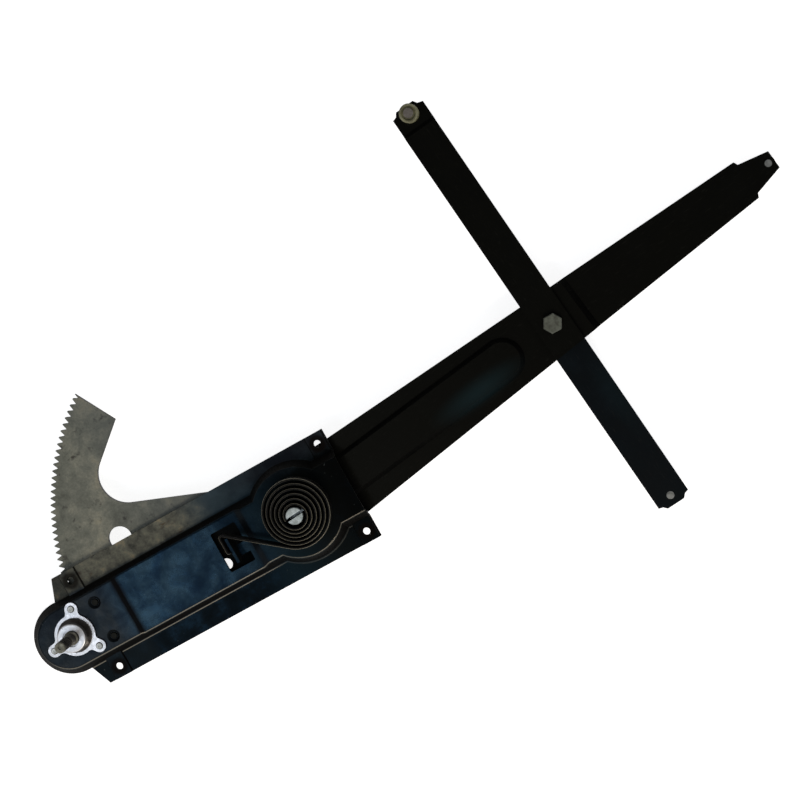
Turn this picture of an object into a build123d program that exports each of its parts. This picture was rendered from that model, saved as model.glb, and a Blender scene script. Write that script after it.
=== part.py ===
"""Manual X-arm window regulator for a vehicle door.

Frame: the origin is the centre of the four mounting holes, on the front face of
the mounting pads.  +X runs along the base plate from the crank to the pivot hub,
+Z points to the crank side.  All sizes are millimetres, all angles degrees.
"""

import os
from math import acos, atan2, cos, degrees, hypot, pi, radians, sin, tan

from build123d import *

# ---------------------------------------------------------------- driving sizes
# sheet thicknesses and clearances
plate_sheet = 2.0
arm_sheet = 2.5
sector_sheet = 3.0
sheet_gap = 0.6
running_gap = 0.05
side_gap = 0.3

# mounting pattern
hole_spacing_x = 203.2
hole_spacing_y = 69.85
mounting_hole_r = 2.6
pad_height = 1.5
pad_length = 14.0

# gear pair, with steep flanks so that the small pinion isn't undercut
tooth_module = 1.55
sector_full_teeth = 228
sector_teeth = 41
pinion_teeth = 8
pressure_angle = 28.0
backlash = 0.30
first_tooth_angle = 125.0

# base plate, lengths measured from the hub axis
hub_to_end = 42.3
hub_to_holes = 34.93
plate_half_width = 42.6
hub_to_left_corner = 180.5
hub_to_left_edge = 187.0
left_edge_half_width = 26.3
channel_half_width = 26.8
hub_to_channel_centre = 189.3
channel_draft = 35.0
crank_zone_rise = 7.0
middle_zone_rise = 6.0
spring_zone_rise = 8.0
hub_to_crank_step = 139.4
hub_to_spring_step = 37.0
boss_radius = 36.5
boss_rise = 8.0
boss_draft = 30.0

# linkage, measured along the lift arm from the hub axis
arm_angle = 7.5
hub_to_pivot = 219.3
hub_to_tip_stud = 398.9
arm_end_r = 30.9
outer_arm_step = 4.0
equalizer_angle = 95.15
pivot_to_cam_stud = 172.6
pivot_to_glass_stud = 143.5
equalizer_half_width = 12.25
cam_end_step = 2.5

# ---------------------------------------------------------------- derived places
sector_pitch_r = tooth_module * sector_full_teeth / 2
pinion_pitch_r = tooth_module * pinion_teeth / 2
hub_x = hole_spacing_x / 2 - hub_to_holes
crank_x = hub_x - sector_pitch_r - pinion_pitch_r
plate_right = hub_x + hub_to_end
channel_left = hub_x - hub_to_channel_centre

# heights of the sheet faces, from the mounting pads back to the rollers
flange_front = -pad_height
flange_back = flange_front - plate_sheet
crank_zone_front = flange_front + crank_zone_rise
crank_zone_back = crank_zone_front - plate_sheet
middle_zone_front = flange_front + middle_zone_rise
boss_front = flange_front + boss_rise
boss_back = boss_front - plate_sheet
sector_front = flange_back - sheet_gap
sector_back = sector_front - sector_sheet
arm_front = sector_back
arm_back = arm_front - arm_sheet
outer_arm_front = arm_front - outer_arm_step
outer_arm_back = outer_arm_front - arm_sheet
front_half_back = arm_front + side_gap
front_half_front = front_half_back + arm_sheet
cam_end_front = front_half_front - cam_end_step
cam_end_back = cam_end_front - arm_sheet
rear_half_front = arm_back - side_gap
rear_half_back = rear_half_front - arm_sheet


def turned_plane(origin, angle):
    """Plane parallel to the mounting face, its x axis turned by angle."""
    direction = (cos(radians(angle)), sin(radians(angle)), 0)
    return Plane(origin=(origin.X, origin.Y, 0), x_dir=direction, z_dir=(0, 0, 1))


def side_of(plane):
    """Plane through the same origin whose axes are the x axis and the height."""
    return Plane(origin=plane.origin, x_dir=plane.x_dir, z_dir=plane.x_dir.cross(plane.z_dir))


def polar(radius, angle):
    """Point at a radius and angle."""
    return (radius * cos(radians(angle)), radius * sin(radians(angle)))


hub_plane = turned_plane(Vector(hub_x, 0), 0)
crank_plane = turned_plane(Vector(crank_x, 0), 0)
arm_plane = turned_plane(Vector(hub_x, 0), arm_angle)
pivot_plane = turned_plane(arm_plane.from_local_coords(Vector(hub_to_pivot, 0)), equalizer_angle)
tip_plane = turned_plane(arm_plane.from_local_coords(Vector(hub_to_tip_stud, 0)), arm_angle)
cam_plane = turned_plane(pivot_plane.from_local_coords(Vector(pivot_to_cam_stud, 0)), equalizer_angle)
glass_plane = turned_plane(pivot_plane.from_local_coords(Vector(-pivot_to_glass_stud, 0)), equalizer_angle)

os.makedirs("parts", exist_ok=True)


def save(builder, name):
    """Label a finished sub-part and write its STEP file."""
    builder.part.label = name
    export_step(builder.part, f"parts/{name}.step")


def turn_profile(plane, points):
    """Revolve a closed (radius, height) outline about the plane's own normal."""
    with BuildPart() as turned:
        with BuildSketch(side_of(plane)):
            with BuildLine():
                Polyline(*points, close=True)
            make_face()
        revolve(axis=Axis(plane.origin, (0, 0, 1)))
    return turned


# ---------------------------------------------------------------- base plate
draft_inset = plate_sheet * (1 / cos(radians(channel_draft)) - tan(radians(channel_draft)))
form_right = plate_right + 20
crank_step_x = hub_x - hub_to_crank_step
spring_step_x = hub_x - hub_to_spring_step
crank_step_run = 2.4
spring_step_run = 4.5
pad_draft = 30.0
crank_opening_r = 10.4
hub_opening_r = 8.0
window_left = -62.4
window_right = -42.6
window_low = -14.6
window_high = 15.8
tab_thickness = 2.0
tab_left = -51.7
tab_neck = (-7.3, 0.7)
tab_span = (-9.9, 8.8)
tab_top = 17.5
button_from_crank = 23.8
button_y = 13.6
dimple_top_r = 4.6
dimple_depth = 1.8
dimple_draft = 45.0
button_shank_r = 1.6
ear_angle = 68.7
ear_distance = 18.9
ear_shank_r = 1.7
crown_r = 2.0
foot_r = 2.0


def flange_outline():
    """Flange with cut left corners, closed by the round end of the channel."""
    with BuildSketch() as outline:
        with BuildLine():
            Polyline(
                (plate_right, -plate_half_width),
                (plate_right, plate_half_width),
                (hub_x - hub_to_left_corner, plate_half_width),
                (hub_x - hub_to_left_edge, left_edge_half_width),
                (hub_x - hub_to_left_edge, -left_edge_half_width),
                (hub_x - hub_to_left_corner, -plate_half_width),
                close=True,
            )
        make_face()
        with Locations((channel_left, 0)):
            Circle(channel_half_width)
    return outline.sketch


def above(solid, height):
    """Edges of a form that lie wholly above a height and left of its open end."""
    return solid.edges().filter_by(
        lambda edge: edge.bounding_box().min.Z > height and edge.center().X < form_right - 1
    )


def pressing(floor_z, inset, crown):
    """Punch form above a floor: stepped channel, round boss and four pads."""
    with BuildPart() as form:
        with BuildSketch(Plane.XY.offset(floor_z)):
            with Locations((channel_left, 0)):
                Circle(channel_half_width - inset)
            with Locations(((channel_left + form_right) / 2, 0)):
                Rectangle(form_right - channel_left, 2 * (channel_half_width - inset))
        extrude(amount=spring_zone_rise, taper=channel_draft)
        with BuildSketch(Plane.XZ):
            with BuildLine():
                Polyline(
                    (channel_left - plate_half_width, floor_z),
                    (channel_left - plate_half_width, floor_z + crank_zone_rise),
                    (crank_step_x - crank_step_run / 2, floor_z + crank_zone_rise),
                    (crank_step_x + crank_step_run / 2, floor_z + middle_zone_rise),
                    (spring_step_x - spring_step_run / 2, floor_z + middle_zone_rise),
                    (spring_step_x + spring_step_run / 2, floor_z + spring_zone_rise),
                    (form_right, floor_z + spring_zone_rise),
                    (form_right, floor_z),
                    close=True,
                )
            make_face()
        extrude(amount=plate_half_width, both=True, mode=Mode.INTERSECT)
        fillet(above(form, floor_z + 1), crown)
    with BuildPart() as boss:
        with BuildSketch(hub_plane.offset(floor_z)):
            Circle(boss_radius - inset)
        extrude(amount=boss_rise, taper=boss_draft)
        fillet(above(boss, floor_z + 1), crown)
    with BuildPart() as pads:
        with BuildSketch(Plane.XY.offset(floor_z)):
            with GridLocations(hole_spacing_x, 2 * plate_half_width, 2, 2):
                Rectangle(pad_length - 2 * inset, 2 * (plate_half_width - channel_half_width) + 8)
        extrude(amount=pad_height, taper=pad_draft)
    return [form.part, boss.part, pads.part]


def foot_corner(plane, draft):
    """Hollow corner between a flat and a wall that leans away by its draft."""
    reach = foot_r * tan(radians(90 - draft) / 2)
    wall_x = -reach * sin(radians(draft))
    with BuildSketch(plane) as corner:
        with BuildLine():
            hollow = CenterArc((reach, foot_r), foot_r, 180 + draft, 90 - draft)
            Polyline(hollow @ 1, (reach, -plate_sheet / 2), (wall_x, -plate_sheet / 2), hollow @ 0)
        make_face()
    return corner.sketch


with BuildPart() as base_plate:
    with BuildSketch(Plane.XY.offset(flange_back)):
        add(flange_outline())
    extrude(amount=plate_sheet)
    # hollow corners at the foot of the channel and of the boss
    for side in (-1, 1):
        wall_foot = Plane(
            origin=(channel_left, side * channel_half_width, flange_front),
            x_dir=(0, side, 0),
            z_dir=(side, 0, 0),
        )
        extrude(foot_corner(wall_foot, channel_draft), amount=side * (form_right - channel_left))
    boss_foot = Plane(origin=(hub_x + boss_radius, 0, flange_front), x_dir=(1, 0, 0), z_dir=(0, -1, 0))
    revolve(foot_corner(boss_foot, boss_draft), axis=Axis((hub_x, 0, 0), (0, 0, 1)))
    add(pressing(flange_front, 0, crown_r))
    with BuildSketch(Plane.XY.offset(flange_back)):
        add(flange_outline())
    extrude(amount=2 * boss_front, mode=Mode.INTERSECT)
    add(pressing(flange_back, draft_inset, crown_r / 2), mode=Mode.SUBTRACT)
    # dimples that carry the sector guide buttons
    with BuildSketch(Plane.XY.offset(crank_zone_back)):
        with Locations((crank_x + button_from_crank, button_y), (crank_x + button_from_crank, -button_y)):
            Circle(dimple_top_r)
    extrude(amount=-dimple_depth, taper=dimple_draft)
    with BuildSketch(Plane.XY.offset(crank_zone_front)):
        with Locations((crank_x + button_from_crank, button_y), (crank_x + button_from_crank, -button_y)):
            Circle(dimple_top_r)
    extrude(amount=-dimple_depth, taper=dimple_draft, mode=Mode.SUBTRACT)
    # openings for the crank, the hub, the rivets and the mounting screws
    with BuildSketch(Plane.XY.offset(flange_back)):
        with Locations((crank_x, 0)):
            Circle(crank_opening_r)
            with PolarLocations(ear_distance, 3, ear_angle):
                Circle(ear_shank_r)
        with Locations((hub_x, 0)):
            Circle(hub_opening_r)
        with Locations((crank_x + button_from_crank, button_y), (crank_x + button_from_crank, -button_y)):
            Circle(button_shank_r)
        with GridLocations(hole_spacing_x, hole_spacing_y, 2, 2):
            Circle(mounting_hole_r)
        with Locations((hub_x + (window_left + window_right) / 2, (window_low + window_high) / 2)):
            RectangleRounded(window_right - window_left, window_high - window_low, 1.2)
    extrude(amount=boss_front - flange_back, mode=Mode.SUBTRACT)
    # spring anchor: a neck left in the window, turned up into a wide tab
    with BuildSketch(Plane.XY.offset(middle_zone_front)):
        with Locations((hub_x + (tab_left + window_right) / 2, sum(tab_neck) / 2)):
            Rectangle(window_right - tab_left, tab_neck[1] - tab_neck[0])
    extrude(amount=-plate_sheet)
    with BuildSketch(Plane.XY.offset(middle_zone_front - plate_sheet)):
        with Locations((hub_x + tab_left + tab_thickness / 2, sum(tab_span) / 2)):
            Rectangle(tab_thickness, tab_span[1] - tab_span[0])
    extrude(amount=tab_top - middle_zone_front + plate_sheet)

save(base_plate, "base_plate")

# ---------------------------------------------------------------- crank bearing
bearing_r = 14.8
bearing_flange = 1.6
ear_r = 4.6
ear_neck_r = 3.5
drum_r = 9.9
drum_roof = crank_zone_front + 7.2
collar_top = crank_zone_front + 11.5
cup_foot_r = 12.6
cup_ledge_r = 11.5
cup_ledge_z = crank_zone_front + 4.2
cup_neck_r = 10.4
collar_r = 9.4
collar_bore_r = 6.2
collar_bore_depth = 1.6
spindle_neck_r = 5.2

with BuildPart() as crank_bearing:
    with BuildSketch(crank_plane.offset(crank_zone_front)) as bearing_outline:
        Circle(bearing_r)
        for ear in range(3):
            with Locations(Location(polar(ear_distance / 2, ear_angle + 120 * ear), ear_angle + 120 * ear)):
                Rectangle(ear_distance, 2 * ear_r)
        with PolarLocations(ear_distance, 3, ear_angle):
            Circle(ear_r)
        fillet(bearing_outline.vertices().sort_by_distance((0, 0, 0))[:6], ear_neck_r)
        with PolarLocations(ear_distance, 3, ear_angle):
            Circle(ear_shank_r, mode=Mode.SUBTRACT)
    extrude(amount=bearing_flange)
    # drawn cup: foot, ledge, neck and a flat collar round the spindle
    with BuildSketch(side_of(crank_plane)):
        with BuildLine():
            Polyline(
                (0, crank_zone_front),
                (cup_foot_r, crank_zone_front),
                (cup_foot_r, crank_zone_front + bearing_flange),
                (cup_foot_r - 0.3, cup_ledge_z - 1.0),
            )
            Spline(
                (cup_foot_r - 0.3, cup_ledge_z - 1.0),
                (cup_ledge_r, cup_ledge_z + 0.4),
                (cup_neck_r, cup_ledge_z + 3.4),
            )
            Line((cup_neck_r, cup_ledge_z + 3.4), (cup_neck_r, collar_top - 1.0))
            ThreePointArc(
                (cup_neck_r, collar_top - 1.0),
                (cup_neck_r - 0.3, collar_top - 0.3),
                (collar_r, collar_top),
            )
            Polyline((collar_r, collar_top), (0, collar_top), (0, crank_zone_front))
        make_face()
    revolve(axis=Axis(crank_plane.origin, (0, 0, 1)))
    with BuildSketch(crank_plane.offset(crank_zone_front)):
        Circle(drum_r)
    extrude(amount=drum_roof - crank_zone_front, mode=Mode.SUBTRACT)
    with BuildSketch(crank_plane.offset(crank_zone_front)):
        Circle(spindle_neck_r + running_gap)
    extrude(amount=collar_top, mode=Mode.SUBTRACT)
    with BuildSketch(crank_plane.offset(collar_top)):
        Circle(collar_bore_r)
    extrude(amount=-collar_bore_depth, mode=Mode.SUBTRACT)

save(crank_bearing, "crank_bearing")

# rivets that hold the bearing: formed head, shank and closed tail
rivet_head_r = 2.6
rivet_tail_r = 2.0
rivet_dimple_r = 0.8
with BuildPart() as bearing_rivets:
    with Locations((crank_x, 0)):
        with PolarLocations(ear_distance, 3, ear_angle):
            with Locations((0, 0, crank_zone_back - 1.0)):
                Cylinder(rivet_tail_r, 1.0, align=(Align.CENTER, Align.CENTER, Align.MIN))
            with Locations((0, 0, crank_zone_back)):
                Cylinder(
                    ear_shank_r, plate_sheet + bearing_flange, align=(Align.CENTER, Align.CENTER, Align.MIN)
                )
            with Locations((0, 0, crank_zone_front + bearing_flange)):
                Cone(rivet_head_r, rivet_tail_r, 1.0, align=(Align.CENTER, Align.CENTER, Align.MIN))
            with Locations((0, 0, crank_zone_front + bearing_flange + 1.0)):
                Cylinder(
                    rivet_dimple_r, 0.5, align=(Align.CENTER, Align.CENTER, Align.MAX), mode=Mode.SUBTRACT
                )

save(bearing_rivets, "bearing_rivets")

# ---------------------------------------------------------------- pinion bridge
bridge_front = sector_back - 0.5
bridge_sheet = 2.0
bridge_back = bridge_front - bridge_sheet
bridge_outer_r = 15.0
bridge_inner_r = bridge_outer_r - bridge_sheet
bridge_wall_span = 130.0
bridge_wall_start = 180 - bridge_wall_span / 2
bridge_tongue = 16.0
bridge_tongue_width = 18.0
bridge_ears = (140.0, 222.0)
bridge_ear_r = 4.2
journal_r = 3.5

with BuildPart() as pinion_bridge:
    with BuildSketch(crank_plane.offset(bridge_back)):
        Circle(bridge_outer_r)
        with Locations((bridge_tongue / 2, 0)):
            Rectangle(bridge_tongue, bridge_tongue_width)
        with Locations((bridge_tongue, 0)):
            Circle(bridge_tongue_width / 2)
        Circle(journal_r + running_gap, mode=Mode.SUBTRACT)
    extrude(amount=bridge_sheet)
    with BuildSketch(crank_plane.offset(bridge_front)):
        with BuildLine():
            CenterArc((0, 0), bridge_outer_r, bridge_wall_start, bridge_wall_span)
            CenterArc((0, 0), bridge_inner_r, bridge_wall_start, bridge_wall_span)
            for angle in (bridge_wall_start, bridge_wall_start + bridge_wall_span):
                Line(polar(bridge_inner_r, angle), polar(bridge_outer_r, angle))
        make_face()
    extrude(amount=crank_zone_back - bridge_front)
    with BuildSketch(crank_plane.offset(crank_zone_back - bridge_sheet)):
        for ear in bridge_ears:
            with Locations(polar(ear_distance, ear)):
                Circle(bridge_ear_r)
            with Locations(Location(polar((bridge_inner_r + ear_distance) / 2, ear), ear)):
                Rectangle(ear_distance - bridge_inner_r, 2 * bridge_ear_r)
        Circle(bridge_inner_r, mode=Mode.SUBTRACT)
    extrude(amount=bridge_sheet)

save(pinion_bridge, "pinion_bridge")

# nylon buttons in the dimples, which steady the front of the sector
button_head_r = 2.6
button_pad_r = 4.0
button_seat = crank_zone_front - dimple_depth
button_rear = crank_zone_back - dimple_depth
with BuildPart() as sector_guide_buttons:
    with Locations((crank_x + button_from_crank, button_y), (crank_x + button_from_crank, -button_y)):
        with Locations((0, 0, button_seat)):
            Cone(button_head_r, button_head_r - 0.5, 0.9, align=(Align.CENTER, Align.CENTER, Align.MIN))
        with Locations((0, 0, button_rear)):
            Cylinder(button_shank_r, plate_sheet, align=(Align.CENTER, Align.CENTER, Align.MIN))
        with Locations((0, 0, sector_front + 0.15)):
            Cylinder(
                button_pad_r, button_rear - sector_front - 0.15, align=(Align.CENTER, Align.CENTER, Align.MIN)
            )

save(sector_guide_buttons, "sector_guide_buttons")

# ---------------------------------------------------------------- crank spindle and brake
spindle_r = 4.1
spindle_top = 45.5
shoulder_length = 8.4
spline_r = 3.9
spline_tip = 3.0
serration_count = 24
serration_depth = 0.35
handle_dimple_r = 1.2
handle_dimple_depth = 1.2
drive_disc_r = 9.2
drive_disc = 1.6
fork_inner_r = 7.0
fork_outer_r = 8.0
fork_span = 26.0
fork_from_gap = 30.0
fork_foot = crank_zone_front + 0.8
brake_pin_r = 3.0
brake_pin_foot = 0.0
brake_wire = 1.5
brake_turns = 3
drive_disc_back = drum_roof - running_gap - drive_disc
shoulder_foot = collar_top + 1.6

with BuildPart() as crank_shaft:
    add(
        turn_profile(
            crank_plane,
            [
                (0, brake_pin_foot),
                (brake_pin_r, brake_pin_foot),
                (brake_pin_r, drive_disc_back),
                (drive_disc_r, drive_disc_back),
                (drive_disc_r, drive_disc_back + drive_disc),
                (spindle_neck_r, drive_disc_back + drive_disc),
                (spindle_neck_r, collar_top + 0.6),
                (spindle_r, shoulder_foot),
                (spindle_r, shoulder_foot + shoulder_length),
                (spline_r, shoulder_foot + shoulder_length + 0.2),
                (spline_r, spindle_top - 0.6),
                (spline_r - 0.6, spindle_top),
                (0, spindle_top),
            ],
        ).part
    )
    # serrations for the handle, between a plain shoulder and a plain tip
    with BuildSketch(crank_plane.offset(shoulder_foot + shoulder_length + 0.8)):
        with PolarLocations(spline_r + 0.05, serration_count):
            Rectangle(2 * serration_depth, 2 * serration_depth, rotation=45)
    extrude(amount=spindle_top - spline_tip - shoulder_foot - shoulder_length - 0.8, mode=Mode.SUBTRACT)
    with BuildSketch(crank_plane.offset(spindle_top)):
        Circle(handle_dimple_r)
    extrude(amount=-handle_dimple_depth, mode=Mode.SUBTRACT)
    # two fork prongs reach down beside the brake spring's ends
    with BuildSketch(crank_plane.offset(fork_foot)):
        for side in (-1, 1):
            start = side * fork_from_gap - fork_span / 2
            with BuildLine():
                CenterArc((0, 0), fork_outer_r, start, fork_span)
                CenterArc((0, 0), fork_inner_r, start, fork_span)
                Line(polar(fork_inner_r, start), polar(fork_outer_r, start))
                Line(polar(fork_inner_r, start + fork_span), polar(fork_outer_r, start + fork_span))
            make_face()
    extrude(amount=drive_disc_back - fork_foot)

save(crank_shaft, "crank_shaft")

pinion_front = sector_front + 0.9
pinion_back = bridge_front + 0.1
core_r = 6.6
core_top = drive_disc_back - 0.3
pinion_tip_r = pinion_pitch_r + 0.85 * tooth_module
pinion_root_r = pinion_pitch_r - 1.25 * tooth_module
tooth_pitch = pi * tooth_module


def tooth_half_angle(pitch_r, radius):
    """Half of an involute tooth's angle at a radius, in radians."""
    base_r = pitch_r * cos(radians(pressure_angle))
    contact = acos(min(1.0, base_r / radius))
    at_pitch = (tooth_pitch - backlash) / 2 / (2 * pitch_r)
    return at_pitch + tan(radians(pressure_angle)) - radians(pressure_angle) - tan(contact) + contact


def tooth_points(pitch_r, radii, centre_angle):
    """Outline of one tooth about its centre angle, from root to tip and back."""
    rising = [polar(r, centre_angle - degrees(tooth_half_angle(pitch_r, r))) for r in radii]
    falling = [polar(r, centre_angle + degrees(tooth_half_angle(pitch_r, r))) for r in reversed(radii)]
    return rising + falling


# the sector tooth nearest the line of centres sets how far the pinion is turned
tooth_step = 360 / sector_full_teeth
meshed_tooth = round((180 - first_tooth_angle) / tooth_step)
mesh_offset = first_tooth_angle + meshed_tooth * tooth_step - 180
pinion_turn = -mesh_offset * sector_full_teeth / pinion_teeth + 180 / pinion_teeth

with BuildPart() as drive_pinion:
    with BuildSketch(crank_plane.offset(pinion_back)):
        with BuildLine():
            pinion_outline = []
            flank_radii = [pinion_root_r, 5.6, pinion_pitch_r, 6.9, pinion_tip_r]
            for tooth in range(pinion_teeth):
                centre = pinion_turn + tooth * 360 / pinion_teeth
                pinion_outline += tooth_points(pinion_pitch_r, flank_radii, centre)
            Polyline(*pinion_outline, close=True)
        make_face()
    extrude(amount=pinion_front - pinion_back)
    with BuildSketch(crank_plane.offset(pinion_front)):
        Circle(core_r)
    extrude(amount=core_top - pinion_front)
    # lug between the ends of the brake spring
    with BuildSketch(crank_plane.offset(fork_foot)):
        with Locations((core_r, 0)):
            Rectangle(2.8, 2.4)
    extrude(amount=core_top - fork_foot)
    with BuildSketch(crank_plane.offset(bridge_back - 1)):
        Circle(journal_r)
    extrude(amount=pinion_back - bridge_back + 1)
    with BuildSketch(crank_plane.offset(brake_pin_foot - 0.5)):
        Circle(brake_pin_r + running_gap)
    extrude(amount=core_top - brake_pin_foot + 0.5, mode=Mode.SUBTRACT)

save(drive_pinion, "drive_pinion")

# brake spring: close turns of square wire that grip the drum from inside
brake_spring_r = drum_r - 0.1
with BuildPart() as brake_spring:
    for turn in range(brake_turns):
        with BuildSketch(crank_plane.offset(fork_foot + turn * (brake_wire + 0.05))):
            Circle(brake_spring_r)
            Circle(brake_spring_r - brake_wire, mode=Mode.SUBTRACT)
            with Locations((brake_spring_r, 0)):
                Rectangle(2 * brake_wire + 3, 5, mode=Mode.SUBTRACT)
        extrude(amount=brake_wire)
    with BuildSketch(crank_plane.offset(fork_foot)):
        for side in (-1, 1):
            with Locations(Location(polar(brake_spring_r - brake_wire / 2, side * 22), side * 22)):
                Rectangle(brake_wire - 0.3, brake_wire)
    extrude(amount=brake_turns * (brake_wire + 0.05) - 0.05)

save(brake_spring, "brake_spring")

# ---------------------------------------------------------------- hub bushing
bushing_flange_r = 11.0
bushing_front = boss_front + 0.4
journal_hub_r = 7.0

with BuildPart() as pivot_bushing:
    with BuildSketch(hub_plane.offset(boss_back - 1)):
        Circle(bushing_flange_r)
    extrude(amount=1)
    with BuildSketch(hub_plane.offset(boss_back)):
        Circle(hub_opening_r)
    extrude(amount=bushing_front - boss_back)
    with BuildSketch(hub_plane.offset(boss_back - 1)):
        Circle(journal_hub_r + running_gap)
    extrude(amount=bushing_front - boss_back + 1, mode=Mode.SUBTRACT)

save(pivot_bushing, "pivot_bushing")

# ---------------------------------------------------------------- counterbalance spring
strip = 1.4
spring_foot = 9.6
spring_top = 20.0
spring_lean = 51.2
spring_outer_r = 24.93
spring_pitch = 3.06
spring_offset = 2.43
spring_half_turns = 11
spring_last_arc = 137.8
hook_x = tab_left - 1.5 - strip / 2
hook_y = (-1.2, 13.9)
hook_end = tab_left - 0.1
hook_bend_r = 2.2
slot_angle = 4.5
slot_width = 2.2
slot_foot = 9.2
arbor_r = 6.05
strip_in_slot = 5.2


def spiral_radius(half_turn):
    """Distance of the strip from the hub on the spiral's own axis line."""
    lean = spring_offset * (1 - half_turn / (spring_half_turns + 0.7))
    return spring_outer_r - spring_pitch * half_turn / 2 - lean * (-1) ** half_turn


with BuildPart() as counterbalance_spring:
    with BuildSketch(hub_plane.offset(spring_foot)):
        with BuildLine():
            joining_angle = spring_lean + 180
            first_point = polar(spiral_radius(0), joining_angle)
            FilletPolyline(
                (hook_end, hook_y[0]),
                (hook_x, hook_y[0]),
                (hook_x, hook_y[1]),
                first_point,
                radius=[hook_bend_r / 2, hook_bend_r],
            )
            for half_turn in range(spring_half_turns + 1):
                sweep_angle = 180 if half_turn < spring_half_turns else spring_last_arc
                here = spiral_radius(half_turn)
                beyond = spiral_radius(half_turn + 1)
                toward = joining_angle + 180 * half_turn
                centre = polar((here - beyond) / 2, toward)
                spiral = CenterArc(centre, (here + beyond) / 2, toward, sweep_angle)
            Line(spiral @ 1, polar(strip_in_slot, slot_angle))
        trace(line_width=strip)
    extrude(amount=spring_top - spring_foot)

save(counterbalance_spring, "counterbalance_spring")

# ---------------------------------------------------------------- lift arm
emboss_start = 28.0
emboss_end = 192.0
emboss_half_width = 15.5
emboss_rise = 3.0
emboss_draft = 45.0
bend_inset = arm_sheet * (2**0.5 - 1)
arm_step_from_hub = 242.0
pivot_journal_r = 6.35
stud_shank_r = 2.2
hub_stake_r = 8.0
hub_rivet_circle = 17.0
hub_rivet_shank = 1.9
arm_left = -arm_end_r - 5
arm_right = 420.0
# the tip's outline, measured from its stud
arm_tip_outline = [
    (-18.0, 14.4),
    (-16.7, 11.4),
    (4.7, 6.6),
    (4.5, -6.8),
    (-17.0, -12.0),
    (-18.5, -15.0),
]


def stepped_sheet(plane, start, end, step_at, step, front, sheet):
    """Sheet seen from its edge, with a step of 45 degrees to the rear."""
    drop = step / 2
    inset = sheet * (2**0.5 - 1)
    with BuildPart() as stepped:
        with BuildSketch(side_of(plane)):
            with BuildLine():
                Polyline(
                    (start, front),
                    (step_at - drop, front),
                    (step_at + drop, front - step),
                    (end, front - step),
                    (end, front - step - sheet),
                    (step_at + drop - inset, front - step - sheet),
                    (step_at - drop - inset, front - sheet),
                    (start, front - sheet),
                    close=True,
                )
            make_face()
        extrude(amount=60, both=True)
    return stepped.part


def emboss(plane, start, end, half_width, height):
    """Tapered pad with round ends along the plane's x axis."""
    with BuildPart() as pad:
        with BuildSketch(plane):
            with Locations(((start + end) / 2, 0)):
                SlotOverall(end - start, 2 * half_width)
        extrude(amount=height, taper=emboss_draft)
    return pad.part


with BuildPart() as lift_arm:
    with BuildSketch(arm_plane.offset(outer_arm_back)):
        with BuildLine():
            Polyline(
                (0, arm_end_r),
                *[(hub_to_tip_stud + x, y) for x, y in arm_tip_outline],
                (0, -arm_end_r),
                close=True,
            )
        make_face()
        Circle(arm_end_r)
    extrude(amount=arm_front - outer_arm_back)
    add(
        stepped_sheet(
            arm_plane, arm_left, arm_right, arm_step_from_hub, outer_arm_step, arm_front, arm_sheet
        ),
        mode=Mode.INTERSECT,
    )
    add(emboss(arm_plane.offset(arm_front), emboss_start, emboss_end, emboss_half_width, emboss_rise))
    add(
        emboss(
            arm_plane.offset(arm_back),
            emboss_start + bend_inset,
            emboss_end - bend_inset,
            emboss_half_width - bend_inset,
            emboss_rise,
        ),
        mode=Mode.SUBTRACT,
    )
    with BuildSketch(arm_plane.offset(outer_arm_back)):
        Circle(hub_stake_r)
        with PolarLocations(hub_rivet_circle, 3, 60 - arm_angle):
            Circle(hub_rivet_shank)
        with Locations((hub_to_pivot, 0)):
            Circle(pivot_journal_r + running_gap)
        with Locations((hub_to_tip_stud, 0)):
            Circle(stud_shank_r)
    extrude(amount=arm_front - outer_arm_back, mode=Mode.SUBTRACT)

save(lift_arm, "lift_arm")

# ---------------------------------------------------------------- sector gear
sector_tip_r = sector_pitch_r + tooth_module
sector_root_r = sector_pitch_r - 1.25 * tooth_module
sector_hub_r = 21.3
sector_inner_corner = (-82.9, 118.8)
sector_inner_bend = (-135.4, 74.8)
sector_bend_r = 20.5
sector_lower_corner = (-157.8, -26.4)
lightening_hole = (-122.4, 44.0)
lightening_hole_r = 8.5
tooling_hole = (-64.3, -8.5)
tooling_hole_r = 4.1


def tangent_point(corner, radius, side):
    """Where a line from a corner touches a circle about the origin."""
    corner_angle = degrees(atan2(corner[1], corner[0]))
    return polar(radius, corner_angle + side * degrees(acos(radius / hypot(*corner))))


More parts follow.
